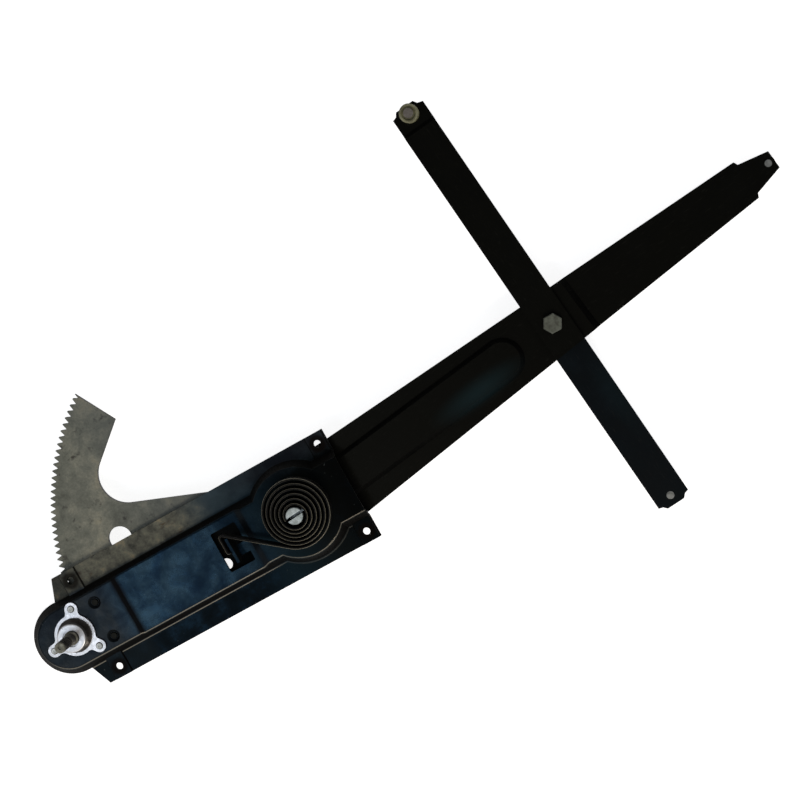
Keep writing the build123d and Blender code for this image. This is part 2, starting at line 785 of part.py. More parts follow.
with BuildPart() as sector_gear:
    with BuildSketch(hub_plane.offset(sector_back)):
        with BuildLine():
            teeth = []
            for tooth in range(sector_teeth):
                centre = first_tooth_angle + tooth * tooth_step
                teeth += tooth_points(sector_pitch_r, [sector_root_r, sector_pitch_r, sector_tip_r], centre)
            last_angle = first_tooth_angle + (sector_teeth - 1) * tooth_step
            Polyline(
                polar(sector_tip_r, first_tooth_angle - 1.2),
                polar(sector_root_r, first_tooth_angle - 0.7),
                *teeth,
                polar(sector_root_r, last_angle + 1.1),
                sector_lower_corner,
                tangent_point(sector_lower_corner, sector_hub_r, 1),
                (0, 0),
                tangent_point(sector_inner_bend, sector_hub_r, -1),
                sector_inner_bend,
                sector_inner_corner,
                close=True,
            )
        make_face()
        Circle(sector_hub_r)
        Circle(hub_stake_r, mode=Mode.SUBTRACT)
        with PolarLocations(hub_rivet_circle, 3, 60):
            Circle(hub_rivet_shank, mode=Mode.SUBTRACT)
        with Locations(lightening_hole):
            Circle(lightening_hole_r, mode=Mode.SUBTRACT)
        with Locations(tooling_hole):
            Circle(tooling_hole_r, mode=Mode.SUBTRACT)
    extrude(amount=sector_sheet)
    bend_edge = sector_gear.edges().filter_by(Axis.Z).sort_by_distance(
        hub_plane.from_local_coords(Vector(*sector_inner_bend, sector_back + sector_sheet / 2))
    )[0]
    fillet(bend_edge, sector_bend_r)

save(sector_gear, "sector_gear")

# ---------------------------------------------------------------- pivot hub
hub_shoulder_r = 13.0
washer_thickness = 0.5
hub_shoulder_front = boss_back - 1 - 0.1 - washer_thickness
retainer_back = bushing_front + 0.2
retainer_sheet = 1.0
retainer_r = 9.0
arbor_top = 20.5
stake_r = 9.0
stake_height = 1.8

with BuildPart() as pivot_hub:
    add(
        turn_profile(
            hub_plane,
            [
                (0, arm_back - stake_height),
                (stake_r - 1.2, arm_back - stake_height),
                (stake_r, arm_back - 0.8),
                (stake_r, arm_back),
                (hub_stake_r, arm_back),
                (hub_stake_r, sector_front),
                (hub_shoulder_r, sector_front),
                (hub_shoulder_r, hub_shoulder_front),
                (journal_hub_r, hub_shoulder_front),
                (journal_hub_r, retainer_back),
                (arbor_r, retainer_back),
                (arbor_r, arbor_top - 0.4),
                (arbor_r - 0.4, arbor_top),
                (0, arbor_top),
            ],
        ).part
    )
    with BuildSketch(turned_plane(Vector(hub_x, 0), slot_angle).offset(slot_foot)):
        Rectangle(2 * arbor_r + 2, slot_width)
    extrude(amount=arbor_top - slot_foot, mode=Mode.SUBTRACT)

save(pivot_hub, "pivot_hub")

with BuildPart() as thrust_washer:
    with BuildSketch(hub_plane.offset(hub_shoulder_front)):
        Circle(bushing_flange_r)
        Circle(journal_hub_r, mode=Mode.SUBTRACT)
    extrude(amount=washer_thickness)

save(thrust_washer, "thrust_washer")

with BuildPart() as arbor_retainer:
    with BuildSketch(hub_plane.offset(retainer_back)):
        Circle(retainer_r)
        Circle(arbor_r, mode=Mode.SUBTRACT)
    extrude(amount=retainer_sheet)

save(arbor_retainer, "arbor_retainer")

rivet_head = 1.4
with BuildPart() as sector_rivets:
    with Locations((hub_x, 0)):
        with PolarLocations(hub_rivet_circle, 3, 60):
            with Locations((0, 0, arm_back)):
                Cylinder(
                    hub_rivet_shank, sector_front - arm_back, align=(Align.CENTER, Align.CENTER, Align.MIN)
                )
                Cone(2.0, 3.0, rivet_head, align=(Align.CENTER, Align.CENTER, Align.MAX))
            with Locations((0, 0, sector_front)):
                Cone(3.0, 2.0, rivet_head, align=(Align.CENTER, Align.CENTER, Align.MIN))

save(sector_rivets, "sector_rivets")

# ---------------------------------------------------------------- equalizer arm
pivot_hex = 9.0
head_hex = 12.4
head_height = 3.1
head_corner_angle = 60.6 - equalizer_angle
front_tail = 20.0
cam_step_at = 161.0
# the arm's ends, measured from their studs
cam_end_outline = [(2.4, 12.25), (3.4, 9.2), (6.1, 7.2), (6.1, -6.5), (3.2, -8.4), (2.1, -12.25)]
glass_end_outline = [(-3.6, 12.0), (-4.4, 9.0), (-7.0, 6.6), (-7.0, -6.6), (-4.4, -9.0), (-3.6, -12.0)]
cam_shank_r = 2.5

with BuildPart() as equalizer_front_arm:
    with BuildSketch(pivot_plane.offset(cam_end_back)):
        with BuildLine():
            Polyline(
                (-front_tail, -equalizer_half_width),
                (-front_tail, equalizer_half_width),
                *[(pivot_to_cam_stud + x, y) for x, y in cam_end_outline],
                close=True,
            )
        make_face()
        RegularPolygon(pivot_hex / 2, 6, major_radius=False, rotation=head_corner_angle, mode=Mode.SUBTRACT)
        with Locations((pivot_to_cam_stud, 0)):
            Circle(cam_shank_r, mode=Mode.SUBTRACT)
    extrude(amount=front_half_front - cam_end_back)
    add(
        stepped_sheet(
            pivot_plane, -front_tail - 5, 200, cam_step_at, cam_end_step, front_half_front, arm_sheet
        ),
        mode=Mode.INTERSECT,
    )

save(equalizer_front_arm, "equalizer_front_arm")

with BuildPart() as equalizer_rear_arm:
    with BuildSketch(pivot_plane.offset(rear_half_back)):
        with BuildLine():
            Polyline(
                (0, equalizer_half_width),
                *[(x - pivot_to_glass_stud, y) for x, y in glass_end_outline],
                (0, -equalizer_half_width),
                close=True,
            )
        make_face()
        Circle(equalizer_half_width)
        RegularPolygon(pivot_hex / 2, 6, major_radius=False, rotation=head_corner_angle, mode=Mode.SUBTRACT)
        with Locations((-pivot_to_glass_stud, 0)):
            Circle(stud_shank_r, mode=Mode.SUBTRACT)
    extrude(amount=arm_sheet)

save(equalizer_rear_arm, "equalizer_rear_arm")

pivot_stake_r = 6.5
pivot_stake = 1.2
with BuildPart() as equalizer_pivot:
    with BuildSketch(pivot_plane.offset(front_half_front)):
        RegularPolygon(head_hex / 2, 6, major_radius=False, rotation=head_corner_angle)
    extrude(amount=head_height)
    chamfer(equalizer_pivot.faces().sort_by(Axis.Z)[-1].edges(), 0.5)
    with BuildSketch(pivot_plane.offset(rear_half_back)):
        RegularPolygon(pivot_hex / 2, 6, major_radius=False, rotation=head_corner_angle)
    extrude(amount=front_half_front - rear_half_back)
    with BuildSketch(pivot_plane.offset(rear_half_front)):
        Circle(pivot_journal_r)
    extrude(amount=front_half_back - rear_half_front)
    with BuildSketch(pivot_plane.offset(rear_half_back)):
        Circle(pivot_stake_r)
    extrude(amount=-pivot_stake, taper=25)

save(equalizer_pivot, "equalizer_pivot")

# ---------------------------------------------------------------- rollers and their studs
glass_roller_r = 5.2
glass_roller_front = -14.3
glass_roller_back = -23.3
cam_roller_r = 6.6
cam_head_r = 3.4
cam_groove_r = 4.8
cam_groove_depth = 0.8
cam_roller_back = cam_end_front + 0.2
cam_roller_front = 3.4
roller_edge = 1.0


def roller_stud(plane, seat, tail, tail_height, roller, head, shank_r, tail_r, head_r, axle_r):
    """Headed stud: closed tail, shank in the sheet, spacing collar, axle and head."""
    near, far = roller
    outward = 1 if far > near else -1
    return turn_profile(
        plane,
        [
            (0, tail - outward * tail_height),
            (tail_r - 0.3, tail - outward * tail_height),
            (tail_r, tail),
            (shank_r, tail),
            (shank_r, seat),
            (head_r, seat),
            (head_r, near - outward * 0.1),
            (axle_r, near - outward * 0.1),
            (axle_r, far + outward * 0.1),
            (head_r, far + outward * 0.1),
            (head_r, far + outward * (0.1 + head)),
            (0, far + outward * (0.1 + head)),
        ],
    )


def roller(plane, radius, bore_r, low, high):
    """Plain roller with bevelled rims."""
    return turn_profile(
        plane,
        [
            (bore_r, low),
            (radius - roller_edge, low),
            (radius, low + roller_edge),
            (radius, high - roller_edge),
            (radius - roller_edge, high),
            (bore_r, high),
        ],
    )


glass_faces = (glass_roller_front, glass_roller_back)
lift_roller_stud = roller_stud(
    tip_plane, outer_arm_back, outer_arm_front, 0.8, glass_faces, 1.3, stud_shank_r, 2.7, 4.5, 2.6
)
save(lift_roller_stud, "lift_roller_stud")

glass_roller_stud = roller_stud(
    glass_plane, rear_half_back, rear_half_front, 0.15, glass_faces, 1.3, stud_shank_r, 2.7, 4.5, 2.6
)
save(glass_roller_stud, "glass_roller_stud")

cam_roller_stud = roller_stud(
    cam_plane,
    cam_end_front,
    cam_end_back,
    1.2,
    (cam_roller_back, cam_roller_front),
    1.0,
    cam_shank_r,
    3.6,
    cam_head_r,
    2.5,
)
save(cam_roller_stud, "cam_roller_stud")

with BuildPart() as cam_roller:
    add(roller(cam_plane, cam_roller_r, 2.5 + running_gap, cam_roller_back, cam_roller_front).part)
    # shallow groove in the face, round the stud's head
    with BuildSketch(cam_plane.offset(cam_roller_front)):
        Circle(cam_groove_r)
        Circle(cam_head_r - 0.2, mode=Mode.SUBTRACT)
    extrude(amount=-cam_groove_depth, mode=Mode.SUBTRACT)

save(cam_roller, "cam_roller")

equalizer_glass_roller = roller(
    glass_plane, glass_roller_r, 2.6 + running_gap, glass_roller_back, glass_roller_front
)
save(equalizer_glass_roller, "equalizer_glass_roller")

lift_glass_roller = roller(
    tip_plane, glass_roller_r, 2.6 + running_gap, glass_roller_back, glass_roller_front
)
save(lift_glass_roller, "lift_glass_roller")
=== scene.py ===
"""Looks of a manual X-arm window regulator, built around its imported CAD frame."""

from math import cos, pi, radians, sin

import bpy
from mathutils import Matrix, Vector
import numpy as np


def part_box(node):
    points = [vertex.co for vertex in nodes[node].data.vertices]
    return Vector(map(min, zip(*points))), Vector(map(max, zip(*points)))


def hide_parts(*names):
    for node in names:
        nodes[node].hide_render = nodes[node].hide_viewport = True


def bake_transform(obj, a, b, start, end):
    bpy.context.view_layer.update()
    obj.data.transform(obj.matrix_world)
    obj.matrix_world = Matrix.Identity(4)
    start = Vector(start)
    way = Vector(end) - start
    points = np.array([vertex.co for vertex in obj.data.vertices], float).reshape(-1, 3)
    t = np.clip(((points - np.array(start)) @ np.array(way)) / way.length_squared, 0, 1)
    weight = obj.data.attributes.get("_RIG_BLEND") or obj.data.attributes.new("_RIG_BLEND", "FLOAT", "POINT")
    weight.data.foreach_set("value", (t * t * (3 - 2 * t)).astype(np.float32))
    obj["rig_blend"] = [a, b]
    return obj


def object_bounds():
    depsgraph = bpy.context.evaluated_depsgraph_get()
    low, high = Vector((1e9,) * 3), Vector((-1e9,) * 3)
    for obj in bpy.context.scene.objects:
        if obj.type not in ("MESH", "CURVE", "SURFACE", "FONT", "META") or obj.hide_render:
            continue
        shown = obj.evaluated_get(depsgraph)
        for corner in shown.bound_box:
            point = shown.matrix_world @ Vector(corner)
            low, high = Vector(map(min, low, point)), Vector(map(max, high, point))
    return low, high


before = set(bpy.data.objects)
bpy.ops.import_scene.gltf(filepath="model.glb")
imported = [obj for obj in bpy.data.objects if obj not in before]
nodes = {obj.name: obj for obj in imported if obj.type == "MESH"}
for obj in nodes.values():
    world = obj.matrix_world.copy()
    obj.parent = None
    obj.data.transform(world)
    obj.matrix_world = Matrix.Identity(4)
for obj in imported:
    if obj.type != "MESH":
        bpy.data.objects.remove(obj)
cad_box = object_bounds()

MM = 0.001

# kinds of node and settings that the finishes share
NOISE = "ShaderNodeTexNoise"
RAMP = "ShaderNodeValToRGB"
RANGE = "ShaderNodeMapRange"
MATH = "ShaderNodeMath"
VECTOR = "ShaderNodeVectorMath"
MIX = "ShaderNodeMix"
BUMP = "ShaderNodeBump"
COLOURS = {"data_type": "RGBA"}
NUMBERS = {"data_type": "FLOAT"}
SMOOTH = {"interpolation_type": "SMOOTHSTEP"}

# sockets of a Mix node, which Blender tells apart only by number
SHARE = 0
UNDER, OVER, MIXED = 6, 7, 2
LOW, HIGH = 2, 3

# columns of the tables below: a noise's space, scale and so on, and a mask's source, where it
# starts and ends, and its values there
NOISE_COLUMNS = ("Vector", "Scale", "Detail", "Roughness", "Distortion")
MASK_COLUMNS = ("Value", "From Min", "From Max", "To Min", "To Max")


# ---------------------------------------------------------------- small helpers
def linear(hex_colour):
    """sRGB hex such as '1a2b3c' to a linear RGBA colour."""
    channels = [int(hex_colour[i : i + 2], 16) / 255 for i in (0, 2, 4)]
    return [c / 12.92 if c <= 0.04045 else ((c + 0.055) / 1.055) ** 2.4 for c in channels] + [1.0]


def centre_of(node):
    """Middle of a CAD node's box."""
    low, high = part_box(node)
    return (Vector(low) + Vector(high)) / 2


def add_node(tree, kind, settings, sockets):
    """Add a node, set its properties, and give its sockets values or other nodes' outputs."""
    node = tree.nodes.new(kind)
    for name, value in settings.items():
        if name == "stops":
            elements = node.color_ramp.elements
            while len(elements) < len(value):
                elements.new(0.5)
            for element, (position, colour) in zip(elements, value):
                element.position = position
                element.color = linear(colour)
        else:
            setattr(node, name, value)
    for name, value in sockets.items():
        if isinstance(value, bpy.types.NodeSocket):
            tree.links.new(value, node.inputs[name])
        else:
            node.inputs[name].default_value = value
    return node


def add_table(tree, kind, settings, columns, rows):
    """Add a node for each labelled row of socket values, and give each label its first output."""
    return {
        label: add_node(tree, kind, settings, dict(zip(columns, row))).outputs[0]
        for label, row in rows.items()
    }


def new_material(name):
    """Material with an empty tree."""
    material = bpy.data.materials.new(name)
    material.use_nodes = True
    material.node_tree.nodes.clear()
    return material, material.node_tree


def finish_surface(tree, sockets):
    """Give a material's tree its shader, with these values and links, and its output."""
    shader = add_node(tree, "ShaderNodeBsdfPrincipled", {}, sockets)
    add_node(tree, "ShaderNodeOutputMaterial", {}, {"Surface": shader.outputs["BSDF"]})


def pattern_space(tree, grain_mm, stretch=(1, 1, 1), turn=0.0, centre=(0, 0, 0)):
    """Object coordinates about a centre, turned about Z, with one unit for each grain."""
    coords = add_node(tree, "ShaderNodeTexCoord", {}, {}).outputs["Object"]
    moved = add_node(tree, VECTOR, {"operation": "SUBTRACT"}, {0: coords, 1: centre}).outputs[0]
    turned = add_node(
        tree,
        "ShaderNodeMapping",
        {"vector_type": "POINT"},
        {"Vector": moved, "Rotation": (0, 0, turn)},
    ).outputs[0]
    scale = [s / (grain_mm * MM) for s in stretch]
    return add_node(tree, VECTOR, {"operation": "MULTIPLY"}, {0: turned, 1: scale}).outputs[0]


# ---------------------------------------------------------------- coated sheet
def dip_coated_arm_steel(name, turn, films, glint, reflection_spot, reflection_strength):
    """Cold-rolled strip dipped in black enamel: near-black with a soft satin shine, faint rub marks along
    its length, dull bends and edges, where the film drained off, and a painted blue reflection."""
    material, tree = new_material(name)
    normal = add_node(tree, "ShaderNodeNewGeometry", {}, {}).outputs["Normal"]
    facing = add_node(tree, "ShaderNodeSeparateXYZ", {}, {0: normal}).outputs
    upright = add_node(tree, MATH, {"operation": "ABSOLUTE"}, {0: facing["Z"]}).outputs[0]
    # the film's clouds, 34 mm; rub marks 0.6 mm wide and ten times as long, drawn a little coarser
    # than real ones; and orange peel, 1.2 mm
    noise = add_table(
        tree,
        NOISE,
        {},
        NOISE_COLUMNS,
        {
            "clouds": (pattern_space(tree, 34), 1.0, 5.0, 0.6, 0.5),
            "rubs": (pattern_space(tree, 0.6, (0.1, 1, 1), turn), 1.0, 3.0),
            "peel": (pattern_space(tree, 1.2), 1.0, 2.0),
        },
    )
    # a painted blue reflection, 90 mm long and 24 mm wide, laid into the enamel's colour
    from_reflection = add_node(
        tree,
        VECTOR,
        {"operation": "LENGTH"},
        {0: pattern_space(tree, 45, (1, 3.7, 0), turn, reflection_spot)},
    ).outputs["Value"]
    painted_reflection = add_node(
        tree,
        RANGE,
        SMOOTH,
        {"Value": from_reflection, "From Min": 1.0, "From Max": 0.0, "To Max": reflection_strength},
    ).outputs[0]
    mask = add_table(
        tree,
        RANGE,
        {},
        MASK_COLUMNS,
        {
            "rub_marks_and_painted_highlight": (noise["rubs"], 0.62, 0.8, 0.0, 0.35),
            "bent": (upright, 0.97, 0.9, 0.0, 1.0),
            "satin": (noise["clouds"], 0.3, 0.7, 0.42, 0.3),
        },
    )
    colour = add_node(tree, RAMP, {"stops": films}, {0: noise["clouds"]}).outputs[0]
    # the painted blue reflection first, then the rub marks
    for share, coat in ((painted_reflection, "223a40"), (mask["rub_marks_and_painted_highlight"], "33332f")):
        colour = add_node(
            tree, MIX, COLOURS, {SHARE: share, UNDER: colour, OVER: linear(coat)}
        ).outputs[MIXED]
    tint = add_node(
        tree, MIX, COLOURS, {SHARE: mask["bent"], UNDER: linear(glint), OVER: linear("141412")}
    ).outputs[MIXED]
    roughness = add_node(
        tree, MIX, NUMBERS, {SHARE: mask["bent"], LOW: mask["satin"], HIGH: 0.8}
    ).outputs[0]
    relief = add_node(
        tree, BUMP, {}, {"Height": noise["peel"], "Strength": 0.12, "Distance": 0.05 * MM}
    ).outputs[0]
    finish_surface(
        tree,
        {
            "Base Color": colour,
            "Roughness": roughness,
            "Specular IOR Level": 0.2,
            "Specular Tint": tint,
            "Normal": relief,
        },
    )
    return material


def blue_black_plate_steel(name):
    """Deep-drawn plate in thin blue-black enamel: its gloss is deep blue on the channel floor, where the
    film is thick, greyer by the crank, and black on the walls and round the boss. Painted shade darkens the
    walls and the floor's steps, a painted blue sheen lies beside the boss, and a painted highlight runs
    along the lower wall's crown and foot. The upper flange is rubbed back to grey steel with brown stains,
    and the mounting holes have darker rings round them."""
    # the floor's steps along X, and one of the mounting holes, which lie evenly about the origin
    crank_step_mm = -72.7
    spring_step_mm = 29.7
    mounting_hole_mm = (101.6, 34.925, 0)
    material, tree = new_material(name)
    place = add_node(tree, "ShaderNodeSeparateXYZ", {}, {0: pattern_space(tree, 1.0)}).outputs
    normal = add_node(tree, "ShaderNodeNewGeometry", {}, {}).outputs["Normal"]
    facing = add_node(tree, "ShaderNodeSeparateXYZ", {}, {0: normal}).outputs
    # X and Y without their signs, which fold the four holes onto one
    folded = add_node(
        tree, VECTOR, {"operation": "ABSOLUTE"}, {0: pattern_space(tree, 1.0, (1, 1, 0))}
    ).outputs[0]
    off_axis = add_node(tree, "ShaderNodeSeparateXYZ", {}, {0: folded}).outputs["Y"]
    # the film's clouds, 13 mm; blotches of its thickness, 15 mm; stains, 7 mm wide and longer along
    # the flange; chips down to bright steel, 1 to 2 mm across; and orange peel, 1.5 mm
    noise = add_table(
        tree,
        NOISE,
        {},
        NOISE_COLUMNS,
        {
            "clouds": (pattern_space(tree, 13), 1.0, 7.0, 0.7, 0.15),
            "blotches": (pattern_space(tree, 15), 1.0, 8.0, 0.66, 0.4),
            "stains": (pattern_space(tree, 7, (0.35, 1, 1)), 1.0, 5.0, 0.7),
            "chips": (pattern_space(tree, 2.4), 1.0, 2.0),
            "peel": (pattern_space(tree, 1.5), 1.0, 3.0),
        },
    )
    # rows by place in mm, then by the way that the surface faces, and then by the noises
    mask = add_table(
        tree,
        RANGE,
        {},
        MASK_COLUMNS,
        {
            "length": (place["X"], -150.0, 110.0, 0.0, 1.0),
            "boss": (place["X"], 18.0, 42.0, 0.0, 0.9),
            "crank_end": (place["X"], -68.0, -76.0, 0.0, 0.8),
            "upper_edge": (place["Y"], 28.0, 36.0, 0.0, 1.0),
            "upper_flange": (place["Y"], 25.5, 28.5, 0.0, 1.0),
            "lower_flange": (place["Y"], -19.0, -29.0, 0.0, 1.0),
            "rubbed_end": (place["X"], 48.0, 0.0, 0.0, 1.0),
            "off_pad": (place["X"], -98.0, -90.0, 0.5, 1.0),
            "cooler": (place["X"], -14.0, 14.0, 0.0, 1.0),
            "crown": (place["Z"], 2.0, 5.0, 0.0, 0.5),
            "in_channel": (off_axis, 25.0, 22.0, 0.0, 1.0),
            "slope": (facing["Z"], 0.82, 0.62, 0.0, 1.0),
            "shallow": (facing["Z"], 0.8, 0.92, 0.0, 1.0),
            "front_bend": (facing["Y"], -0.12, -0.3, 0.0, 1.0),
            "stained": (noise["stains"], 0.56, 0.68, 0.0, 0.8),
            "chipped": (noise["chips"], 0.74, 0.78, 0.0, 0.5),
            "uneven": (noise["clouds"], 0.3, 0.7, -0.15, 0.2),
            "satin": (noise["clouds"], 0.3, 0.7, 0.34, 0.22),
        },
    )
    # painted shade, by distance in mm from each step of the floor, and a darker ring, by distance from the
    # nearest mounting hole
    from_step = {}
    for label, step_mm in (("crank", crank_step_mm), ("spring", spring_step_mm)):
        offset = add_node(
            tree, MATH, {"operation": "SUBTRACT"}, {0: place["X"], 1: step_mm}
        ).outputs[0]
        from_step[label] = add_node(
            tree, MATH, {"operation": "ABSOLUTE"}, {0: offset}
        ).outputs[0]
    from_hole = add_node(
        tree, VECTOR, {"operation": "DISTANCE"}, {0: folded, 1: mounting_hole_mm}
    ).outputs["Value"]
    mask |= add_table(
        tree,
        RANGE,
        SMOOTH,
        MASK_COLUMNS,
        {
            "crank_step": (from_step["crank"], 5.0, 1.0, 0.0, 0.75),
            "spring_step": (from_step["spring"], 5.0, 1.0, 0.0, 0.6),
            "round_hole": (from_hole, 7.5, 4.5, 0.0, 0.8),
        },
    )
    # painted highlight on the lower wall's crown and foot fillets that face the warm lamp, but round the
    # boss only on the crown, and weaker
    mask["kept"] = add_node(
        tree, MIX, NUMBERS, {SHARE: mask["boss"], LOW: 1.0, HIGH: mask["crown"]}
    ).outputs[0]
    steps = [
        ("plain", "MAXIMUM", "boss", "crank_end"),
        ("painted_sheen_above_boss", "MULTIPLY", "upper_edge", "boss"),
        ("open_flange", "MULTIPLY", "upper_flange", "off_pad"),
        ("ragged_end", "ADD", "rubbed_end", "uneven"),
        ("thin", "MAXIMUM", "lower_flange", "slope"),
        # painted shade on the channel's walls, nine tenths of the slope mask
        ("painted_wall_shade", "MULTIPLY", "slope", 0.9),
        ("steps", "MAXIMUM", "crank_step", "spring_step"),
        ("floor_steps", "MULTIPLY", "steps", "in_channel"),
        # painted shade along the floor's steps, together with the darker rings round the holes
        ("step_shade_and_hole_rings", "MAXIMUM", "floor_steps", "round_hole"),
        ("bend", "MULTIPLY", "front_bend", "shallow"),
        ("rub_marks_and_painted_highlight", "MULTIPLY", "bend", "kept"),
    ]
    for label, operation, first, second in steps:
        mask[label] = add_node(
            tree, MATH, {"operation": operation}, {0: mask[first], 1: mask.get(second, second)}
        ).outputs[0]
    # the upper flange is rubbed from the crank's end to beyond the middle, in ragged patches
    mask["worn"] = add_node(
        tree,
        MATH,
        {"operation": "MULTIPLY", "use_clamp": True},
        {0: mask["ragged_end"], 1: mask["open_flange"]},
    ).outputs[0]
    # each ramp's stops, and what it runs over: the clouds, the blotches or the plate's length
    ramps = {
        "film": ([(0.34, "06080a"), (0.52, "0a1118"), (0.68, "142636")], noise["clouds"]),
        # film over the crank end and the boss, by length: plain colour by the crank, a painted blue sheen
        # left of the boss, and darker to its right
        "film_and_boss_sheen": (
            [
                (0.0, "171c1f"),
                (0.4, "171c1f"),
                (0.66, "172833"),
                (0.78, "17242a"),
                (0.88, "131615"),
                (0.97, "0a0b0a"),
            ],
            mask["length"],
        ),
        "steel": (
            [(0.34, "3e3f3b"), (0.46, "5e5f57"), (0.55, "737468"), (0.66, "948a72")],
            noise["clouds"],
        ),
        "thickness": ([(0.36, "8f9fb6"), (0.5, "ccd6e0"), (0.62, "ffffff")], noise["blotches"]),
        "gloss": (
            [
                (0.24, "a0a8aa"),
                (0.3, "a0d8f6"),
                (0.58, "a0d8f6"),
                (0.68, "6e94a6"),
                (0.78, "485458"),
                (0.9, "303236"),
                (0.99, "0c0e0c"),
            ],
            mask["length"],
        ),
    }
    tone = {
        label: add_node(tree, RAMP, {"stops": stops}, {0: source}).outputs[0]
        for label, (stops, source) in ramps.items()
    }
    tone["tint"] = add_node(
        tree,
        MIX,
        COLOURS | {"blend_type": "MULTIPLY"},
        {SHARE: 1.0, UNDER: tone["gloss"], OVER: tone["thickness"]},
    ).outputs[MIXED]
    # what each coat lies over, its share, and its colour, in the order in which they are laid
    coats = [
        ("film", "plain", tone["film_and_boss_sheen"]),
        # painted sheen: lighter film on the upper flange beside the boss
        ("film", "painted_sheen_above_boss", linear("24272c")),
        ("steel", "stained", linear("4a3522")),
        ("steel", "cooler", linear("43525a")),
        ("tint", "thin", linear("35464c")),
        ("tint", "slope", linear("101211")),
        ("tint", "worn", linear("6a6658")),
        ("tint", "step_shade_and_hole_rings", linear("1a1613")),
        # painted highlight: a light tint on the lower wall's fillets that face the warm lamp
        ("tint", "rub_marks_and_painted_highlight", linear("f4ecdd")),
    ]
    for base, share, coat in coats:
        tone[base] = add_node(
            tree, MIX, COLOURS, {SHARE: mask[share], UNDER: tone[base], OVER: coat}
        ).outputs[MIXED]
    colour = tone["film"]
    surface_coats = [
        ("worn", tone["steel"]),
        ("chipped", linear("5a5f60")),
        # painted shade along the floor's steps, and the darker rings round the holes
        ("step_shade_and_hole_rings", linear("120e0b")),
        # painted shade: near-black colour on the walls
        ("painted_wall_shade", linear("070604")),
        # painted highlight: light colour on the same fillets
        ("rub_marks_and_painted_highlight", linear("807c70")),
    ]
    for share, coat in surface_coats:
        colour = add_node(
            tree, MIX, COLOURS, {SHARE: mask[share], UNDER: colour, OVER: coat}
        ).outputs[MIXED]
    roughness = mask["satin"]
    for share, rough in (("worn", 0.62), ("slope", 0.85)):
        roughness = add_node(
            tree, MIX, NUMBERS, {SHARE: mask[share], LOW: roughness, HIGH: rough}
        ).outputs[0]
    relief = add_node(
        tree, BUMP, {}, {"Height": noise["peel"], "Strength": 0.12, "Distance": 0.05 * MM}
    ).outputs[0]
    finish_surface(
        tree,
        {
            "Base Color": colour,
            "Roughness": roughness,
            "IOR": 1.6,
            "Specular Tint": tone["tint"],
            "Normal": relief,
        },
    )
    return material


# ---------------------------------------------------------------- bare steel
def blanked_sector_steel(name, tones, metallic):
    """Hot-rolled strip, blanked and left oily: matt grey-tan faces with clouds of scale and dark spots,
    bluer towards the hub, painted black as shade under the plate, and darker edge faces with a darker rim
    along them."""
    rim_mm = 0.6
    material, tree = new_material(name)
    place = add_node(tree, "ShaderNodeSeparateXYZ", {}, {0: pattern_space(tree, 1.0)}).outputs
    normal = add_node(tree, "ShaderNodeNewGeometry", {}, {}).outputs["Normal"]
    facing = add_node(tree, "ShaderNodeSeparateXYZ", {}, {0: normal}).outputs
    upright = add_node(tree, MATH, {"operation": "ABSOLUTE"}, {0: facing["Z"]}).outputs[0]
    # a darker rim along the edges, where a bevelled normal leaves the flat one
    rounded = add_node(tree, "ShaderNodeBevel", {"samples": 6}, {"Radius": rim_mm * MM}).outputs[0]
    agreeing = add_node(
        tree, VECTOR, {"operation": "DOT_PRODUCT"}, {0: rounded, 1: normal}
    ).outputs["Value"]
    # clouds of scale, 26 mm; spots, 7 mm; and the scale's grain, 1.5 mm
    noise = add_table(
        tree,
        NOISE,
        {},
        NOISE_COLUMNS,
        {
            "scale": (pattern_space(tree, 26), 1.0, 8.0, 0.66, 0.3),
            "spots": (pattern_space(tree, 7), 1.0, 4.0, 0.62),
            "grain": (pattern_space(tree, 1.5), 1.0, 4.0, 0.7),
        },
    )
    mask = add_table(
        tree,
        RANGE,
        {},
        MASK_COLUMNS,
        {
            "spotted": (noise["spots"], 0.6, 0.72, 0.0, 0.75),
            "bluer": (place["X"], -60.0, 30.0, 0.0, 0.9),
            "hidden": (place["Y"], 36.0, 24.0, 0.0, 0.97),
            "inward": (place["X"], -56.0, -8.0, 0.0, 1.0),
            "sheared": (upright, 0.5, 0.2, 0.0, 1.0),
            "rim": (agreeing, 0.98, 0.85, 0.0, 0.8),
            "roughness": (noise["scale"], 0.3, 0.7, 0.7, 0.52),
        },
    )
    # painted shade: the strip darkened, and its reflection dimmed, where it lies under the plate
    mask["painted_shade_under_plate"] = add_node(
        tree, MATH, {"operation": "MULTIPLY"}, {0: mask["hidden"], 1: mask["inward"]}
    ).outputs[0]
    scaled = add_node(tree, RAMP, {"stops": tones}, {0: noise["scale"]}).outputs[0]
    mottled = add_node(
        tree, RAMP, {"stops": [(0.3, "5c5c5c"), (0.7, "a2a2a2")]}, {0: noise["grain"]}
    ).outputs[0]
    colour = add_node(
        tree,
        MIX,
        COLOURS | {"blend_type": "OVERLAY"},
        {SHARE: 0.5, UNDER: scaled, OVER: mottled},
    ).outputs[MIXED]
    coats = [
        ("spotted", "2a241e"),
        ("bluer", "4a5459"),
        # the painted shade under the plate
        ("painted_shade_under_plate", "0b0e10"),
        ("sheared", "0f0e0d"),
        ("rim", "211f1b"),
    ]
    for share, coat in coats:
        colour = add_node(
            tree, MIX, COLOURS, {SHARE: mask[share], UNDER: colour, OVER: linear(coat)}
        ).outputs[MIXED]
    tint = add_node(
        tree, MIX, COLOURS, {SHARE: mask["painted_shade_under_plate"], UNDER: linear("ffffff"), OVER: linear("1a1f22")}
    ).outputs[MIXED]
    relief = add_node(
        tree, BUMP, {}, {"Height": noise["grain"], "Strength": 0.25, "Distance": 0.06 * MM}
    ).outputs[0]
    finish_surface(
        tree,
        {
            "Base Color": colour,
            "Metallic": metallic,
            "Roughness": mask["roughness"],
            "Specular Tint": tint,
            "Normal": relief,
        },
    )
    return material


